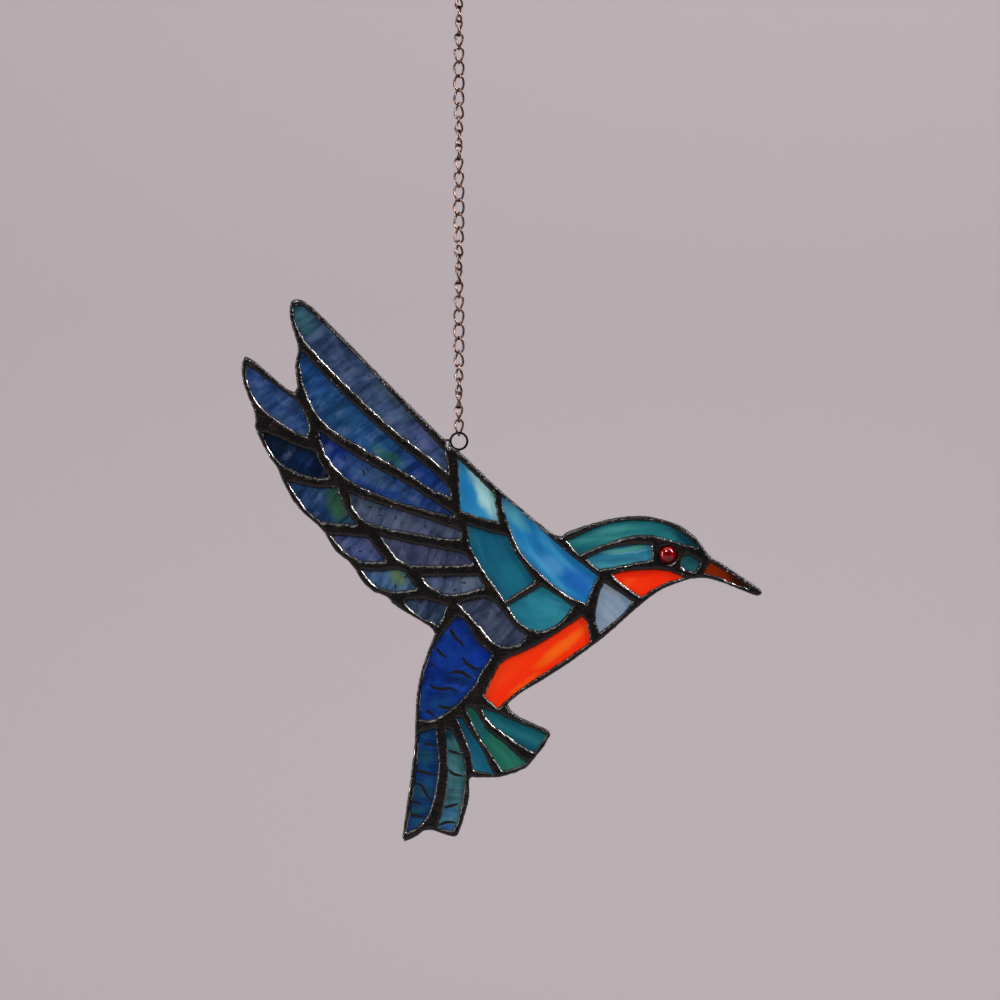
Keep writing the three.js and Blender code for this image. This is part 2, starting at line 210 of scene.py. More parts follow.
def nearest(shore, points):
    """The distance from each point to the nearest one of a shore, and that one's number."""
    tree = kdtree.KDTree(len(shore))
    for i, p in enumerate(shore):
        tree.insert((p[0], p[1], 0), i)
    tree.balance()
    found = [tree.find((p[0], p[1], 0)) for p in points]
    return np.array([f[2] for f in found]), np.array([f[1] for f in found])


def fill(loops, marks, free):
    """Triangles between loops, through free points and along marked outlines as well: all the
    points, and the triangles that lie inside an odd number of loops."""
    points = [Vector(p) for loop in [*loops, *marks] for p in loop]
    edges, start = [], 0
    for loop in [*loops, *marks]:
        edges.extend((start + i, start + (i + 1) % len(loop)) for i in range(len(loop)))
        start += len(loop)
    points.extend(Vector(p) for p in free)
    verts, _, faces, olds, _, _ = geometry.delaunay_2d_cdt(points, edges, [], 0, 1e-5)
    verts = np.array([tuple(v) for v in verts])
    faces = np.array([f for f in faces if len(f) == 3])
    within = np.array([bool(old) and old[0] >= start for old in olds])
    kept = within[faces].any(axis=1)
    unsure = np.flatnonzero(~kept)
    kept[unsure] = inside(verts[faces[unsure]].mean(axis=1), loops)
    return verts, faces[kept]


def facing(verts, faces):
    """The triangles turned so that each one is anticlockwise as seen from the front."""
    a, b, c = (verts[faces[:, k]] for k in range(3))
    turn = (b[:, 0] - a[:, 0]) * (c[:, 1] - a[:, 1]) - (b[:, 1] - a[:, 1]) * (c[:, 0] - a[:, 0])
    return np.where(turn[:, None] > 0, faces, faces[:, ::-1])


def new_piece(name, coords, polygons):
    mesh = bpy.data.meshes.new(name)
    mesh.from_pydata([tuple(c) for c in coords], [], polygons)
    mesh.update()
    piece = bpy.data.objects.new(name, mesh)
    bpy.context.scene.collection.objects.link(piece)
    return piece


def slab(name, verts, faces, front, back):
    """A closed mesh: the same triangles at the front and the back, and walls between them.
    front and back give each point's depth."""
    count = len(verts)
    coords = [place(v[0], d, v[1]) for v, d in zip(verts, front)]
    coords += [place(v[0], d, v[1]) for v, d in zip(verts, back)]
    faces = faces.tolist()
    polygons = [*faces, *([count + c, count + b, count + a] for a, b, c in faces)]
    used = {edge for a, b, c in faces for edge in ((a, b), (b, c), (c, a))}
    polygons.extend((b, a, count + a, count + b) for a, b in used if (b, a) not in used)
    return new_piece(name, coords, polygons)


def shade_smooth(piece, angle=60):
    piece.data.shade_smooth()
    piece.data.set_sharp_from_angle(angle=math.radians(angle))


def finish_piece(piece, node):
    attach(piece, "root")
    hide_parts(node)


# ---- Materials ----


def linear(code):
    """A colour written as RRGGBB, as linear values."""
    values = [int(code[i:i + 2], 16) / 255 for i in (0, 2, 4)]
    return (*(v / 12.92 if v <= 0.04045 else ((v + 0.055) / 1.055) ** 2.4 for v in values), 1)


class Shader:
    """A material's node tree, written one node at a time."""

    def __init__(self, name):
        self.material = bpy.data.materials.new(name)
        self.material.use_nodes = True
        self.tree = self.material.node_tree
        self.principled = self.tree.nodes["Principled BSDF"]

    def add(self, kind, inputs=None, **settings):
        node = self.tree.nodes.new("ShaderNode" + kind)
        for key, value in settings.items():
            setattr(node, key, value)
        for key, value in (inputs or {}).items():
            self.put(node.inputs[key], value)
        return node

    def put(self, socket, value):
        if isinstance(value, bpy.types.NodeSocket):
            self.tree.links.new(value, socket)
        else:
            socket.default_value = value

    def set(self, **inputs):
        for key, value in inputs.items():
            self.put(self.principled.inputs[key.replace("_", " ")], value)

    def math(self, operation, *values, clamp=False):
        inputs = dict(enumerate(values))
        return self.add("Math", inputs, operation=operation, use_clamp=clamp).outputs[0]

    def mix(self, factor, a, b, blend="MIX"):
        node = self.add("Mix", {0: factor, 6: a, 7: b}, data_type="RGBA", blend_type=blend)
        return node.outputs[2]

    def ramp(self, factor, stops):
        node = self.add("ValToRGB", {0: factor})
        elements = node.color_ramp.elements
        while len(elements) < len(stops):
            elements.new(0.5)
        for element, (at, colour) in zip(elements, stops):
            element.position = at
            element.color = colour
        return node.outputs[0]

    def between(self, value, low, high):
        inputs = {0: value, 1: low, 2: high}
        return self.add("MapRange", inputs, interpolation_type="SMOOTHSTEP").outputs[0]

    def panel_mm(self):
        """The point on the panel in millimetres from the ring's centre."""
        coords = self.add("TexCoord").outputs["Object"]
        inputs = {0: coords, 1: (0, 0, -RING_Z * 1000), 3: (1000, 1000, 1000)}
        return self.add("Mapping", inputs).outputs[0]

    def noise(self, vector, scale, detail=3, roughness=0.55, distortion=0.0):
        inputs = {"Vector": vector, "Scale": scale, "Detail": detail, "Roughness": roughness}
        inputs["Distortion"] = distortion
        return self.add("TexNoise", inputs).outputs[0]

    def turned(self, vector, angle, stretch=1.0, shift=0.0):
        """Panel coordinates turned so that X runs along a direction, then drawn out along it."""
        flat = self.add("Mapping", {0: vector, 1: (shift, 0, 0), 2: (0, math.radians(angle), 0)})
        inputs = {0: flat.outputs[0], 3: (1 / stretch, 1, 1)}
        return self.add("Mapping", inputs).outputs[0]

    def bump(self, height, strength, distance):
        inputs = {"Height": height, "Strength": strength, "Distance": distance}
        return self.add("Bump", inputs).outputs[0]


def solder_material():
    s = Shader("solder")
    at = s.panel_mm()
    wear_and_highlight = s.add("Attribute", attribute_name="wear_and_highlight").outputs["Fac"]
    joint = s.add("Attribute", attribute_name="joint").outputs["Fac"]
    broad = s.noise(at, 0.25, 4)
    fine = s.noise(at, 2.2, 4)
    dots = s.add("TexVoronoi", {"Vector": at, "Scale": 0.4, "Randomness": 1.0}).outputs["Distance"]
    chance = s.between(s.noise(at, 0.12, 1), 0.48, 0.56)
    lumps = s.noise(at, 0.55, 3, 0.6)
    patina = s.ramp(broad, [(0.35, linear("040303")), (0.55, linear("0a0706")), (0.75, linear("1c120e"))])
    silver = s.ramp(fine, [(0.3, linear("8f847c")), (0.6, linear("e8ddd8"))])
    # bright marks painted highlight lines, partly bare wear, along the bead edges that face the lamps; there the
    # colour turns silver and metallic.
    bright = s.between(s.math("MULTIPLY_ADD", fine, 0.6, wear_and_highlight), 0.78, 0.95)
    speck = s.math("MULTIPLY", s.between(dots, 0.16, 0.1), s.math("MULTIPLY", joint, chance))
    bare = s.mix(s.between(broad, 0.45, 0.55), linear("c48a6a"), linear("e4d6d0"))
    colour = s.mix(bright, patina, silver)
    colour = s.mix(speck, colour, bare)
    s.set(Base_Color=colour, Metallic=s.math("MAXIMUM", bright, speck))
    s.set(Roughness=s.math("MULTIPLY_ADD", fine, 0.3, 0.08), Specular_IOR_Level=0.42)
    rough = s.bump(fine, 0.2, 0.0002)
    bumpy = s.add("Bump", {"Height": lumps, "Strength": 0.5, "Distance": 0.0007, "Normal": rough})
    s.set(Normal=bumpy.outputs[0])
    return s.material


def wire_material(name, dark, pale, roughness):
    s = Shader(name)
    at = s.panel_mm()
    rub = s.noise(at, 0.9, 3)
    s.set(Base_Color=s.ramp(rub, [(0.35, linear(dark)), (0.65, linear(pale))]), Metallic=1.0)
    s.set(Roughness=roughness)
    s.set(Normal=s.bump(s.noise(at, 4.0, 2), 0.15, 0.0001))
    return s.material


def paint_material():
    s = Shader("black_paint")
    at = s.panel_mm()
    tone = s.noise(at, 1.5, 3)
    s.set(Base_Color=s.ramp(tone, [(0.3, linear("030306")), (0.7, linear("0a0b12"))]))
    s.set(Roughness=0.35, Normal=s.bump(tone, 0.2, 0.0001))
    return s.material


def glass_material(name, tones, angle=0, stretch=3.0, scale=0.09, patches=(), mottle=0.0,
                   pale_tone="747b98", seeds=0.0, clear=0.3, rough=0.16, warp=1.0):
    """Streaky art glass. tones run from the darkest to the lightest streak. Each patch is
    (x, z, reach along, reach across, angle, colour, strength). mottle darkens soft ripples that
    run across the pane and draws others to a pale tone, and seeds scatters small dark bubbles."""
    s = Shader(name)
    at = s.panel_mm()
    seed = sum(map(ord, name)) * 1.7
    along = s.turned(at, angle, stretch, seed)
    streaks = s.noise(along, scale, 5, 0.6, warp)
    stops = np.linspace(0.32, 0.68, len(tones))
    colour = s.ramp(streaks, [(stop, linear(tone)) for stop, tone in zip(stops, tones)])
    drift = s.add("VectorMath", {0: s.add("TexNoise", {"Vector": at, "Scale": 0.12}).outputs[1],
                                 1: (0.5, 0.5, 0.5)}, operation="SUBTRACT").outputs[0]
    moved = s.add("VectorMath", {0: drift, 1: (4, 4, 4), 2: at}, operation="MULTIPLY_ADD").outputs[0]
    for x, z, reach, across, turn, tone, strength in patches:
        centred = s.add("VectorMath", {0: moved, 1: (x, 0, z)}, operation="SUBTRACT").outputs[0]
        spun = s.turned(centred, turn)
        sized = s.add("VectorMath", {0: spun, 1: (1 / reach, 0, 1 / across)}, operation="MULTIPLY")
        away = s.add("VectorMath", {0: sized.outputs[0]}, operation="LENGTH").outputs["Value"]
        amount = s.math("MULTIPLY", s.between(away, 1.25, 0.35), strength)
        colour = s.mix(amount, colour, linear(tone))
    if mottle:
        ripples = s.noise(s.turned(at, angle + 80, 4.5, seed), 0.34, 4, 0.6, 0.35)
        blots = s.noise(at, 0.2, 2, 0.5, 0.5)
        shade = s.math("MULTIPLY", s.between(ripples, 0.42, 0.68), mottle)
        pale = s.math("MULTIPLY", s.between(ripples, 0.52, 0.34), mottle * 0.45)
        pale = s.math("MULTIPLY", pale, s.between(blots, 0.4, 0.62))
        colour = s.mix(shade, colour, s.mix(1.0, colour, linear("777c92"), "MULTIPLY"))
        colour = s.mix(pale, colour, linear(pale_tone))
    if seeds:
        dots = s.add("TexVoronoi", {"Vector": at, "Scale": 0.42, "Randomness": 1.0}).outputs["Distance"]
        chance = s.between(s.noise(at, 0.21, 1), 0.46, 0.56)
        spots = s.math("MULTIPLY", s.between(dots, 0.17, 0.08), s.math("MULTIPLY", chance, seeds))
        colour = s.mix(spots, colour, linear("04060c"))
    s.set(Base_Color=colour, Roughness=rough, IOR=1.5, Transmission_Weight=clear)
    s.set(Specular_IOR_Level=0.5)
    s.set(Normal=s.bump(s.noise(at, 0.8, 2), 0.12, 0.0004))
    return s.material


# ---- The solder network ----


def bead_height(away):
    """How far a bead stands over its foot, from 0 to 1, at a distance from its edge."""
    reach = np.clip(away / BEAD_ROUND, 0, 1)
    return np.sqrt(1 - (1 - reach) ** 2)


def edge_rows(loops, sides):
    """Rows of points close beside every edge, so that the bead's round flank is modelled."""
    shore = np.concatenate(loops)
    rows = []
    for loop, side in zip(loops, sides):
        ahead = np.roll(loop, -1, axis=0) - np.roll(loop, 1, axis=0)
        normal = np.stack([-ahead[:, 1], ahead[:, 0]], axis=1)
        normal /= np.linalg.norm(normal, axis=1)[:, None]
        for away in (0.1, 0.28, 0.56):
            row = loop + normal * away * side
            rows.append(row[nearest(shore, row)[0] > away * 0.86])
    return np.concatenate(rows)


def hand_run(loop, inward, amount):
    """A loop whose line wanders a little, as a bead run by hand does. The rim only goes inward."""
    ahead = np.roll(loop, -1, axis=0) - np.roll(loop, 1, axis=0)
    normal = np.stack([-ahead[:, 1], ahead[:, 0]], axis=1)
    normal /= np.linalg.norm(normal, axis=1)[:, None]
    wander = amount * (rough_surface(loop, 0.5, 12.0) + 0.6 * rough_surface(loop, 1.3, 30.0))
    return loop + normal * (wander + inward)[:, None]


def rough_surface(verts, scale, seed):
    return np.array([noise.noise(Vector((v[0] * scale, v[1] * scale, seed))) for v in verts])


def solder_network():
    loops = sorted((smooth(loop) for loop in section("solder_lines", -CUT_DEPTH)), key=area)
    rim = hand_run(loops[-1], 0.12, 0.18)
    holes = [hand_run(loop, 0, 0.26) for loop in loops[:-1]]
    rows = edge_rows([rim, *holes], [1] + [-1] * len(holes))
    shore = np.concatenate([rim, *holes, rows])
    between = grid([rim, *holes], GRID_STEP)
    between = between[nearest(shore, between)[0] > 0.25]
    verts, faces = fill([rim, *holes], [], np.concatenate([rows, between]))
    faces = facing(verts, faces)

    hole_points = np.concatenate(holes)
    from_rim, rim_at = nearest(rim, verts)
    from_hole, hole_at = nearest(hole_points, verts)
    from_edge = np.minimum(from_rim, from_hole)
    from_edge[from_edge < 0.02] = 0
    crease = 0.16 * np.exp(-(((from_rim - RIM_STEP) / 0.16) ** 2))
    uneven = 0.1 * rough_surface(verts, 0.45, 3.0) + 0.05 * rough_surface(verts, 1.4, 8.0)
    behind = 0.1 * rough_surface(verts, 0.5, 21.0)
    swell = bead_height(from_edge)
    full = (BEAD_TOP - BEAD_FOOT) * swell * (0.9 + 0.1 * np.tanh(from_edge / 3))
    front = np.maximum(-BEAD_FOOT - full * (0.93 + uneven) + crease * swell, -BEAD_TOP)
    back = np.minimum(BEAD_FOOT + full * (0.93 + behind), BEAD_TOP)
    piece = slab("solder_bead", verts, faces, front, back)

    # Painted highlight, partly bare wear: thin silver lines on the sides that face the lamps. They run where the
    # bead meets a pane on the pane's left side, in the rim's crease on the upper right, and beside the outer rim on
    # the lower left.
    to_hole = hole_points[hole_at] - verts
    to_hole /= np.maximum(np.linalg.norm(to_hole, axis=1), 1e-6)[:, None]
    to_rim = rim[rim_at] - verts
    to_rim /= np.maximum(np.linalg.norm(to_rim, axis=1), 1e-6)[:, None]
    patchy = rough_surface(verts, 0.16, 5.0)
    inner = np.exp(-(((from_hole - 0.2) / 0.16) ** 2))
    inner *= np.clip(to_hole @ np.array([0.95, 0.3]) + 0.1, 0, 1) * np.clip(0.75 + patchy, 0, 1)
    groove = np.exp(-(((from_rim - RIM_STEP) / 0.15) ** 2))
    groove *= np.clip(1.4 * to_rim @ np.array([0.55, 0.83]), 0, 1) * np.clip(0.9 + patchy, 0, 1)
    rim_foil_and_highlight = np.exp(-(((from_rim - 0.3) / 0.22) ** 2))
    rim_foil_and_highlight *= np.clip(to_rim @ np.array([-0.95, -0.3]) - 0.1, 0, 1) * np.clip(0.2 + 1.6 * patchy, 0, 1)
    wear_and_highlight = np.clip(np.maximum(np.maximum(inner, groove), rim_foil_and_highlight), 0, 1)
    joint = np.exp(-(((from_hole - 0.35) / 0.5) ** 2))
    for name, values in (("wear_and_highlight", wear_and_highlight), ("joint", joint)):
        layer = piece.data.attributes.new(name, "FLOAT", "POINT")
        layer.data.foreach_set("value", np.concatenate([values, values]).astype(np.float32))
    piece.data.materials.append(solder_material())
    shade_smooth(piece, 75)
    finish_piece(piece, "solder_lines")


# ---- Glass panes ----

# Black strokes painted on the tail's panes, as paths with their half width.
PAINT = {
    "rump": [
        ([(-3.4, -69.2), (-1.6, -72.2), (0.6, -74.4), (2.1, -75.9)], 0.65),
        ([(-8.3, -76.4), (-6.6, -78.6), (-4.4, -80.1)], 0.56),
        ([(-11.1, -82), (-9.1, -83), (-8.3, -84.4)], 0.31),
        ([(1.3, -79.8), (2.9, -82.2), (5.4, -83.8), (8.4, -84.7)], 0.65),
        ([(-4.9, -84.5), (-4.3, -84.7)], 0.46),
        ([(-3.3, -85.8), (-1, -85.2), (1.3, -85.6), (3.5, -87), (5.5, -88.1)], 0.65),
        ([(-11, -90), (-8.9, -91.2), (-6, -91.7), (-3.1, -91.4), (-0.1, -92.7)], 0.65),
        ([(-7.7, -97.6), (-5.9, -98.4), (-3, -98.5), (-1.5, -98.2)], 0.62),
        ([(-12.2, -99.2), (-10.5, -100.6), (-9, -101.8)], 0.56),
    ],
    "tail_feather_1": [
        ([(-13, -111.8), (-8.6, -112.4)], 0.54),
        ([(-15.4, -121.8), (-12, -122.6), (-8.2, -123.4)], 0.57),
        ([(-16.2, -126.3), (-14, -127.2), (-12.5, -129.5), (-11.3, -131.6), (-9.7, -133.5)], 0.57),
        ([(-17.5, -133.3), (-14, -134)], 0.54),
        ([(-18.2, -138.2), (-12, -139)], 0.61),
    ],
    "tail_feather_2": [
        ([(-4, -114.3), (-1.2, -115.2), (1, -116)], 0.51),
        ([(-3.9, -121.3), (-2.2, -122.9), (2, -124)], 0.57),
        ([(-5.5, -135.4), (-2.4, -134.7), (-0.1, -134)], 0.57),
        ([(-7.6, -142.2), (-5.3, -141), (-3.3, -140.8), (-0.8, -141.2)], 0.54),
    ],
}

# The dark crescents that bubbles and folds show in the wing's glass.
CRESCENT = {
    "wing_tip_1": [(-75, 15.5, 1.1, 200), (-72.5, 12.8, 0.9, 200), (-64.3, 6, 1.3, 80), (-71.4, 22.3, 0.9, 60)],
    "wing_feather_3": [(-43.5, -6.0, 1.3, 300), (-36.2, -12.0, 1.3, 300), (-33, -10.6, 0.8, 120)],
    "wing_feather_4": [(-33, -25.3, 0.9, 20), (-24, -28.5, 0.7, 300), (-13, -31.8, 0.7, 300), (-29, -27, 0.6, 180)],
    "wing_feather_5": [(-10.2, -40.4, 0.8, 0), (-4, -42.5, 0.7, 40)],
    "wing_feather_6": [(-5.4, -51.3, 1.0, 0), (1.8, -53.2, 0.9, 20), (-1.1, -55.6, 0.7, 60)],
    "wing_tip_4": [(-41.2, -39, 1.0, 230), (-36.4, -41.4, 0.7, 30)],
    "wing_tip_5": [(-31.5, -52.6, 0.8, 270), (-24.3, -53.6, 0.9, 280), (-19.8, -50.8, 0.6, 20)],
    "wing_tip_6": [(-7.5, -62.7, 0.65, 0), (-11, -64.5, 0.75, 0), (-13.6, -59.8, 0.5, 40)],
}
FULL_RING = {(-10.2, -40.4), (-7.5, -62.7), (-11, -64.5)}


def stroke(path, half_width):
    """The outline of a brush stroke that thins out at both ends."""
    line = curve_points([np.array(p, float) for p in path], 0.3)
    line = np.concatenate([line, [path[-1]]])
    ahead = np.gradient(line, axis=0)
    side = np.stack([-ahead[:, 1], ahead[:, 0]], axis=1) / np.linalg.norm(ahead, axis=1)[:, None]
    share = np.linspace(0, 1, len(line))
    width = half_width * (0.12 + 0.88 * np.sin(math.pi * share**0.75) ** 0.6)
    return np.concatenate([line + side * width[:, None], (line - side * width[:, None])[::-1]])


def crescent(x, z, radius, turn, whole):
    start = math.radians(turn)
    sweep = math.radians(330 if whole else 150)
    angles = start + np.linspace(0, sweep, 14)
    path = [(x + radius * math.cos(a), z + radius * math.sin(a)) for a in angles]
    return stroke(path, 0.16 if whole else 0.27)


def pane_piece(node, material, ripple, paint):
    edge = smooth(section(node, 0)[0], PANE_STEP)
    drawn = [stroke(path, half) for path, half in PAINT.get(node, [])]
    for x, z, radius, turn in CRESCENT.get(node, []):
        drawn.append(crescent(x, z, radius, turn, (x, z) in FULL_RING))
    drawn = [shape for shape in drawn if inside(shape, [edge]).all()]
    free = grid([edge], PANE_STEP)
    free = free[nearest(np.concatenate([edge, *drawn]), free)[0] > 0.4]
    verts, faces = fill([edge], drawn, free)
    faces = facing(verts, faces)
    wave = np.array([noise.noise(Vector((v[0] * 0.22, v[1] * 0.3, 1.0))) for v in verts])
    small = rough_surface(verts, 0.7, 4.0)
    front = -GLASS_FACE + ripple * (0.7 * wave + 0.3 * small) + ripple * 0.5
    piece = slab("glass_" + node, verts, faces, front, np.full(len(verts), GLASS_FACE - 0.02))
    piece.data.materials.append(material)
    if drawn:
        piece.data.materials.append(paint)
        centres = verts[faces].mean(axis=1)
        marks = np.zeros(len(piece.data.polygons), np.int32)
        for shape in drawn:
            marks[:len(faces)] |= inside(centres, [shape])
        piece.data.polygons.foreach_set("material_index", marks)
    shade_smooth(piece, 50)
    return piece


WING = {"mottle": 0.7, "seeds": 0.85, "stretch": 2.2, "scale": 0.11, "clear": 0.28}
BODY = {"stretch": 4.0, "scale": 0.1, "clear": 0.25, "rough": 0.12}
PAINTED = {"mottle": 0.5, "stretch": 1.6, "scale": 0.14, "clear": 0.25, "rough": 0.14}
SILK = {"stretch": 7.0, "scale": 0.08, "clear": 0.25, "rough": 0.12, "warp": 0.3}

GLASS = {
    "wing_feather_1": dict(tones=["2f4264", "3e5477", "56678a"], angle=-46, patches=[
        (-58, 45, 9, 5, -50, "3a6a71", 0.75), (-24, 18, 9, 4, -45, "4e6b68", 0.5),
        (-12, 1, 9, 5, -45, "444b8a", 0.5)], **WING),
    "wing_feather_2": dict(tones=["153a68", "1f4d80", "2e5d8a"], angle=-42, patches=[
        (-25, -6, 9, 2.6, -30, "2c6347", 0.7), (-12, -13, 13, 6, -40, "183780", 0.8),
        (-45, 10, 9, 6, -42, "1f4a6a", 0.5), (-52, 24, 8, 4, -60, "235397", 0.4)], **WING),
    "wing_feather_3": dict(tones=["102b69", "1f4080", "3c5a83"], angle=-30, patches=[
        (-46, -4, 7, 6, -30, "113283", 0.7), (-31, -13, 7, 5, -30, "38566f", 0.6),
        (-8, -24.5, 8, 3, -25, "172f71", 0.6)], **WING),
    "wing_feather_4": dict(tones=["323d5b", "45506c", "5a647b"], angle=-16, patches=[
        (-35, -23, 8, 5, -16, "3f545e", 0.5)], **WING),
    "wing_feather_5": dict(tones=["374160", "49506f", "5b6079"], angle=-8, patches=[
        (-12, -42, 10, 3, -8, "53536b", 0.4)], **WING),
    "wing_feather_6": dict(tones=["435373", "576786", "68778b"], angle=-5, patches=[
        (3, -51.5, 5, 2.5, 0, "667079", 0.5)], **WING),
    "wing_tip_1": dict(tones=["213c6f", "315082", "4d6385"], angle=-45, patches=[
        (-73, 24, 8, 4, -40, "254988", 0.5)], **WING),
    "wing_tip_2": dict(tones=["051124", "0a203a", "112c4c"], angle=-20, patches=[
        (-58, -8, 7, 4, -20, "0a2759", 0.4)], **WING),
    "wing_tip_3": dict(tones=["18325c", "234366", "33516e"], angle=-30, patches=[
        (-45, -22, 4.5, 9, 15, "345c3a", 0.85), (-58, -20, 6, 4, -40, "1b3c71", 0.5)], **WING),
    "wing_tip_4": dict(tones=["2c3d74", "3b4e7f", "586085"], angle=-25, patches=[
        (-33, -38, 6, 3, -50, "565a79", 0.5)], **WING),
    "wing_tip_5": dict(tones=["2f4e74", "41648a", "577899"], angle=-10, patches=[
        (-23, -50.2, 4.5, 3, -60, "5e7e43", 0.85), (-31, -51, 4, 3, 0, "38618e", 0.5)], **WING),
    "wing_tip_6": dict(tones=["202e46", "2f435e", "3f546c"], angle=-20, patches=[], **WING),
    "wing_covert": dict(tones=["343d56", "444f68", "556078"], angle=-35, patches=[], **WING),
    "shoulder_1": dict(tones=["2582b8", "298bbd", "429fc5"], angle=-58, patches=[
        (9.4, -18.5, 17, 3.6, -65, "a6d6d9", 0.95), (12, -17, 7, 1.6, -58, "429f78", 0.85),
        (2.5, -20, 9, 3.5, -65, "1b70ae", 0.7)], **BODY),
    "shoulder_2": dict(tones=["0b425a", "135974", "1f6a82"], angle=-62, patches=[
        (20, -50, 7, 5, -60, "1d7488", 0.6)], **BODY),
    "shoulder_3": dict(tones=["186378", "247b90", "3d8f9f"], angle=-20, patches=[
        (31, -62, 7, 4, 0, "2f8fa3", 0.5)], **BODY),
    "back": dict(tones=["1a69a4", "2581bb", "49a2cc"], angle=-45, patches=[
        (21, -28, 8, 3, -50, "57a2b1", 0.75), (44, -52, 8, 5, -45, "1e63b9", 0.8),
        (34, -46, 6, 4, -30, "58a3d0", 0.6)], **BODY),
    "neck": dict(tones=["7289a6", "8ca1b5", "abb5bd"], angle=-50, patches=[], **BODY),
    "belly": dict(tones=["fb300a", "ff3810", "ff4914"], angle=38, patches=[
        (38, -76, 13, 2.2, 38, "ff7217", 0.75), (24, -90, 8, 1.6, 36, "ff5f1b", 0.6),
        (15, -93, 5, 3, 40, "ff300a", 0.5)], **SILK),
    "throat": dict(tones=["f61e05", "fe2e0a", "ff3f12"], angle=35, patches=[
        (63, -52, 6, 1.6, 40, "ff5315", 0.6), (66, -49, 9, 1.6, 0, "e91503", 0.6)], **SILK),
    "crown": dict(tones=["135164", "207479", "438d8c"], angle=8, patches=[
        (84, -36.5, 8, 3, -40, "0b3e4f", 0.9), (57, -33, 9, 1.4, 10, "479693", 0.6)], **BODY),
    "cheek": dict(tones=["1b5f7e", "2a7c95", "4795a5"], angle=8, patches=[
        (62, -39.8, 11, 1.1, 6, "549f92", 0.9), (63, -41, 10, 0.6, 4, "71aabc", 0.5),
        (60, -44, 11, 1.6, 3, "215f7e", 0.6)], **SILK),
    "lore": dict(tones=["194852", "256066", "347372"], angle=10, patches=[], **BODY),
    "beak": dict(tones=["611702", "942f04", "b43e07"], angle=-30, patches=[
        (104, -52.6, 6, 2, -30, "2e0802", 0.9)], **BODY),
    "rump": dict(tones=["061f62", "0d3184", "1a489c"], angle=-70, patches=[
        (-7, -97, 6, 3.5, 0, "123f70", 0.8), (7, -80, 6, 3.5, 30, "1238a0", 0.7),
        (-3, -70, 5, 3, -40, "1c469c", 0.5), (0, -88.5, 7, 2, -10, "0a2454", 0.8),
        (-4, -93.5, 6, 1.6, 0, "0d2e5c", 0.7)],
        pale_tone="1f4aa4", **PAINTED),
    "tail_feather_1": dict(tones=["082b60", "0d3a70", "174a7a"], angle=-85, patches=[
        (-12, -117, 5, 2.6, 0, "164a60", 0.8), (-14, -129, 5, 3, 0, "174c5a", 0.8),
        (-15, -136.5, 5, 2, 0, "1a5260", 0.8), (-15, -141, 4, 2, 0, "1a4c6c", 0.7),
        (-12, -123, 5, 1.4, 0, "0c2e68", 0.8)],
        pale_tone="1a5480", **PAINTED),
    "tail_feather_2": dict(tones=["245660", "3a7078", "548890"], angle=-85, patches=[
        (-4, -107.5, 3, 3, 0, "123c52", 0.9), (0, -113, 2.5, 4, 0, "4a8078", 0.6),
        (0, -130, 3, 6, 0, "4a7c86", 0.5), (-5, -138, 6, 3, 0, "3a70a0", 0.7),
        (-3, -143, 5, 1.8, 0, "174688", 0.9)],
        pale_tone="6a9aa8", **PAINTED),
    "tail_fan_1": dict(tones=["0f4f6e", "186783", "2e7e8d"], angle=-70, patches=[], **BODY),
    "tail_fan_2": dict(tones=["15584e", "237360", "398673"], angle=-50, patches=[
        (8, -106, 6, 3, -50, "1a5873", 0.5)], **BODY),
    "tail_fan_3": dict(tones=["0d475a", "156371", "2a777f"], angle=-25, patches=[], **BODY),
}


def glass_panes():
    paint = paint_material()
    for node, look in GLASS.items():
        material = glass_material("glass_" + node, **look)
        ripple = 0.16 if node.startswith("wing") else 0.06
        piece = pane_piece(node, material, ripple, paint)
        finish_piece(piece, node)


# ---- Eye, ring, chain and hook ----


def turned_piece(name, centre, profile, count):
    """A solid turned about the depth axis from a profile of (radius, depth)."""
    coords, polygons = [place(centre[0], profile[0][1], centre[1])], []
    for radius, depth in profile[1:-1]:
        for k in range(count):
            a = 2 * math.pi * k / count
            coords.append(place(centre[0] + radius * math.cos(a), depth, centre[1] + radius * math.sin(a)))
    coords.append(place(centre[0], profile[-1][1], centre[1]))
    rows = len(profile) - 2
    for k in range(count):
        nxt = (k + 1) % count
        polygons.append((0, 1 + k, 1 + nxt))
        for r in range(rows - 1):
            a, b = 1 + r * count, 1 + (r + 1) * count
            polygons.append((a + k, b + k, b + nxt, a + nxt))
        last = 1 + (rows - 1) * count
        polygons.append((len(coords) - 1, last + nxt, last + k))
    return new_piece(name, coords, polygons)


def eye():
    low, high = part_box("eye")
    centre = ((low.x + high.x) * 500, ((low.z + high.z) / 2 - RING_Z) * 1000)
    rim = (high.x - low.x) * 500
    top = low.y * 1000
    foot = rim - 0.55
    dome = [(foot * math.sin(a), -GLASS_FACE + (top + GLASS_FACE) * math.cos(a))
            for a in np.linspace(0, math.pi / 2, 14)]
    profile = [(0, dome[0][1]), *dome[1:], (rim - 0.1, -GLASS_FACE), (rim - 0.04, -GLASS_FACE + 0.1),
               (rim - 0.04, GLASS_FACE - 0.1), (rim - 0.1, GLASS_FACE), (0, GLASS_FACE)]
    piece = turned_piece("eye_cabochon", centre, profile, 64)
    s = Shader("red_glass")
    depth = s.noise(s.panel_mm(), 0.5, 2)
    s.set(Base_Color=s.ramp(depth, [(0.35, linear("560003")), (0.65, linear("980306"))]))
    s.set(Roughness=0.03, IOR=1.52, Transmission_Weight=0.3)
    piece.data.materials.append(s.material)
    shade_smooth(piece, 50)
    finish_piece(piece, "eye")


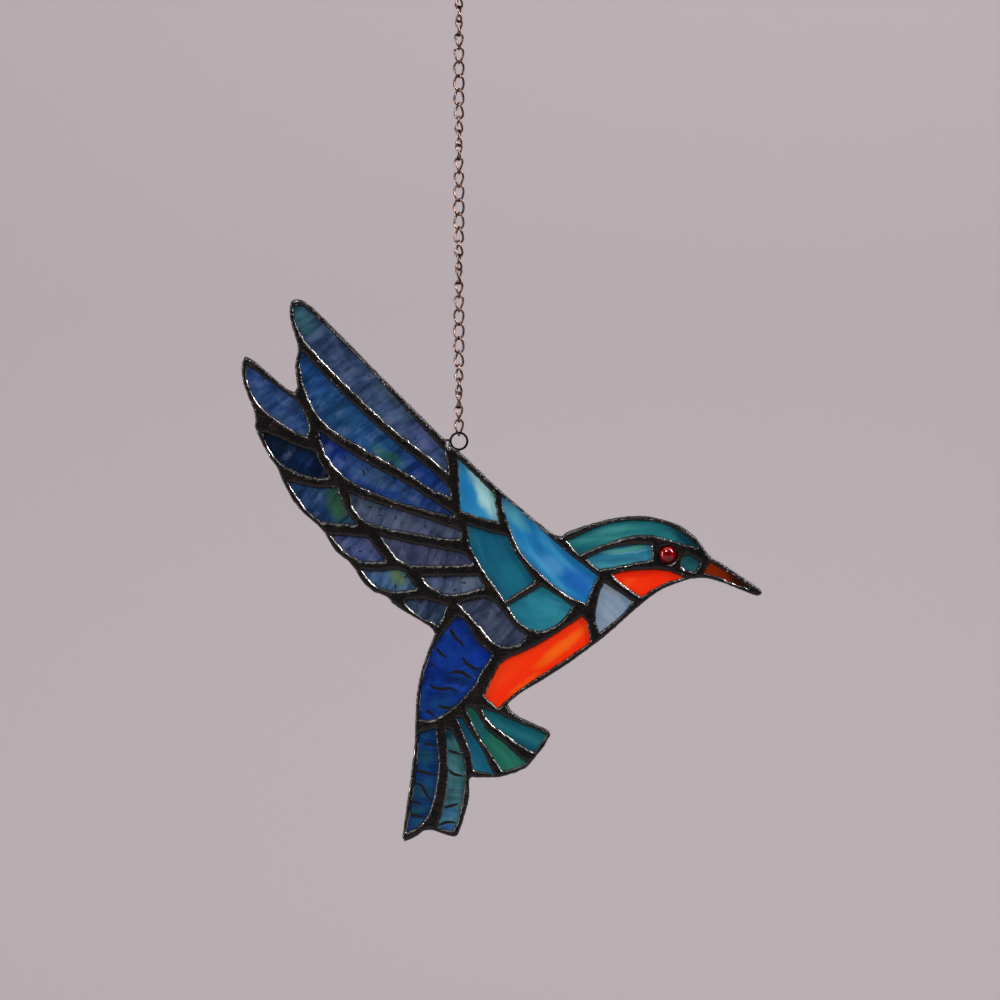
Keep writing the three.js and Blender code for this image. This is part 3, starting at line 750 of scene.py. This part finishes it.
def tube(name, lines, radius, sides, closed):
    """Round wire along one or more lines of points, in metres, as one mesh."""
    coords, polygons = [], []
    for line in lines:
        line = [Vector(p) for p in line]
        count = len(line)
        start = len(coords)
        normal = None
        for i, here in enumerate(line):
            before = line[i - 1] if closed or i else here
            after = line[(i + 1) % count] if closed or i < count - 1 else here
            ahead = (after - before).normalized()
            if normal is None:
                normal = ahead.orthogonal().normalized()
            normal = (normal - ahead * normal.dot(ahead)).normalized()
            other = ahead.cross(normal)
            for k in range(sides):
                a = 2 * math.pi * k / sides
                coords.append(here + radius * (math.cos(a) * normal + math.sin(a) * other))
        shift = closing_shift(coords[start:start + sides], coords[-sides:], sides) if closed else 0
        for i in range(count if closed else count - 1):
            wrap = i == count - 1
            a, b = start + i * sides, start + ((i + 1) % count) * sides
            for k in range(sides):
                c, d = k, (k + 1) % sides
                if wrap:
                    e, f = (c + shift) % sides, (d + shift) % sides
                else:
                    e, f = c, d
                polygons.append((a + c, a + d, b + f, b + e))
        if not closed:
            for end, inward in ((line[0], 0), (line[-1], count - 1)):
                ahead = (end - line[1 if inward == 0 else count - 2]).normalized()
                base = start + inward * sides
                centre = len(coords)
                coords.append(end + ahead * radius * 0.5)
                for k in range(sides):
                    pair = (base + (k + 1) % sides, base + k)
                    polygons.append((centre, *(pair if inward == 0 else pair[::-1])))
    piece = new_piece(name, coords, polygons)
    piece.data.shade_smooth()
    return piece


def closing_shift(first, last, sides):
    """Which point of the first ring lies nearest to the last ring's first one."""
    return min(range(sides), key=lambda k: (first[k] - last[0]).length)


def hanging_ring():
    radius = ((ring_high.x - ring_low.x) / 2) * 1000 - RING_WIRE / 2
    line = [place(radius * math.cos(a), 0, radius * math.sin(a))
            for a in np.linspace(0, 2 * math.pi, 72, endpoint=False)]
    piece = tube("ring_wire", [line], RING_WIRE * 0.0005 * 0.96, 14, True)
    piece.data.materials.append(wire_material("ring_wire", "0a0706", "1d1512", 0.3))
    finish_piece(piece, "hanging_ring")


def chain():
    low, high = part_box("chain")
    bottom = low.z * 1000 + LINK_WIRE * 0.56
    top = high.z * 1000 - LINK_WIRE * 0.56 - LINK_LENGTH
    lines = []
    for i in range(LINK_COUNT):
        share = i / (LINK_COUNT - 1)
        heading = math.pi / 4 + CHAIN_TWIST * share
        centre = bottom + (top - bottom) * share + LINK_LENGTH / 2
        line = []
        for t in np.linspace(0, 2 * math.pi, 40, endpoint=False):
            across = LINK_WIDTH / 2 * math.copysign(abs(math.sin(t)) ** 0.8, math.sin(t))
            up = -LINK_LENGTH / 2 * math.copysign(abs(math.cos(t)) ** 0.8, math.cos(t))
            plane = heading - math.pi / 4 * up / (LINK_LENGTH / 2)
            line.append((across * math.cos(plane) * 0.001, across * math.sin(plane) * 0.001,
                         (centre + up) * 0.001))
        lines.append(line)
    piece = tube("chain_links", lines, LINK_WIRE * 0.0005, 10, True)
    piece.data.materials.append(wire_material("chain_wire", "33231f", "94786c", 0.24))
    finish_piece(piece, "chain")


def hook():
    low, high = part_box("hook")
    bend = ((high.x - low.x) * 1000 - HOOK_WIRE) / 2
    bend_z = high.z * 1000 - HOOK_WIRE * 0.48 - bend
    eye_radius = 2.4
    eye_z = low.z * 1000 + HOOK_WIRE / 2 + eye_radius
    points = [(bend * math.cos(a), bend_z + bend * math.sin(a))
              for a in np.radians(np.linspace(-35, 185, 12))]
    points += [(eye_radius * math.cos(a), eye_z + eye_radius * math.sin(a))
               for a in np.radians(np.linspace(-10, -262, 12))]
    line = curve_points([np.array(p) for p in points], 0.4)
    piece = tube("hook_wire", [[(x * 0.001, 0, z * 0.001) for x, z in line]], HOOK_WIRE * 0.00048, 14, False)
    piece.data.materials.append(wire_material("hook_wire", "33231f", "94786c", 0.24))
    finish_piece(piece, "hook")


# ---- Stage, light and camera ----


def stage():
    """A pale floor that sweeps up into a backdrop."""
    width, front, back, floor, top, bend = 3.0, -1.6, 0.7, -0.5, 1.4, 0.4
    profile = [(front, floor), (back - bend, floor)]
    profile += [(back - bend + bend * math.sin(a), floor + bend * (1 - math.cos(a)))
                for a in np.linspace(0.1, math.pi / 2, 14)]
    profile.append((back, top))
    coords = [(x, y, z) for y, z in profile for x in (-width, width)]
    polygons = [(2 * i, 2 * i + 1, 2 * i + 3, 2 * i + 2) for i in range(len(profile) - 1)]
    sweep = new_piece("backdrop", coords, polygons)
    sweep.data.shade_smooth()
    s = Shader("backdrop")
    s.set(Base_Color=linear("a39a9d"), Roughness=0.9, Specular_IOR_Level=0.1)
    sweep.data.materials.append(s.material)


def softbox(name, place_at, look_at, width, height, power, colour=(1, 1, 1)):
    light = bpy.data.lights.new(name, "AREA")
    light.shape = "RECTANGLE"
    light.size, light.size_y = width, height
    light.energy = power
    light.color = colour
    lamp = bpy.data.objects.new(name, light)
    bpy.context.scene.collection.objects.link(lamp)
    lamp.location = place_at
    lamp.rotation_euler = (Vector(look_at) - Vector(place_at)).to_track_quat("-Z", "Y").to_euler()


def lights():
    middle = (0.02, 0, RING_Z - 0.04)
    softbox("rim_right", (0.75, -0.3, RING_Z + 0.65), middle, 0.12, 0.6, 13)
    softbox("rim_left", (-0.9, -0.25, RING_Z + 0.1), middle, 0.12, 0.6, 6)
    softbox("key", (-0.35, -0.9, 0.75), middle, 0.45, 0.45, 12)
    softbox("wall", (0.0, -0.1, 1.1), (0, 0.7, -0.2), 1.6, 0.5, 5.5)
    world = bpy.data.worlds.new("studio")
    world.use_nodes = True
    world.node_tree.nodes["Background"].inputs["Color"].default_value = (0.9, 0.87, 0.88, 1)
    world.node_tree.nodes["Background"].inputs["Strength"].default_value = 0.05
    bpy.context.scene.world = world


def camera():
    """Straight on, with 370 mm across the view at the panel."""
    view_width, away, sensor = 0.370, 1.3, 36
    centre = place(15.2, 0, -21.8)
    data = bpy.data.cameras.new("camera")
    data.sensor_width = sensor
    data.lens = sensor * away / view_width
    data.clip_end = 20
    eye_point = bpy.data.objects.new("camera", data)
    bpy.context.scene.collection.objects.link(eye_point)
    eye_point.location = (centre[0], -away, centre[2])
    eye_point.rotation_euler = (math.pi / 2, 0, 0)
    bpy.context.scene.camera = eye_point


bpy.context.scene.view_settings.view_transform = "Standard"
camera()
stage()
lights()
solder_network()
glass_panes()
eye()
hanging_ring()
chain()
hook()
